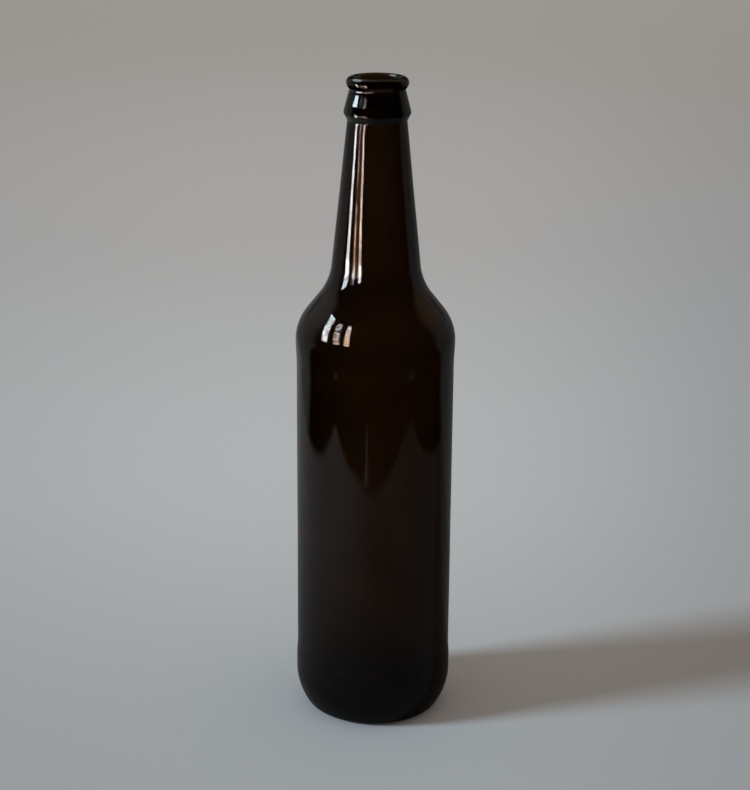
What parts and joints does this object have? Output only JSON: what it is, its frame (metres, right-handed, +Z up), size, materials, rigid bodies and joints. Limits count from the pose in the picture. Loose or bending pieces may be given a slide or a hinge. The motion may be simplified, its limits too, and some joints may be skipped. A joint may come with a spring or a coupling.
{
  "type": "glass beer bottle",
  "caption": "Empty long-necked beer bottle of dark amber glass with a crown-cap lip, sunk label panel, rounded heel and domed base.",
  "frame": {"origin": "centre of the base, on the plane that the bottle stands on", "axes": "+Z up along the bottle's axis towards the mouth; +X and +Y are alike, because the bottle is round"},
  "size_m": [0.0696, 0.0696, 0.2865],
  "materials": {
    "amber_glass": "clear dark amber-brown glass, fire-polished gloss"
  },
  "bodies": {
    "root": {"bottle": "amber_glass"}
  },
  "joints": []
}
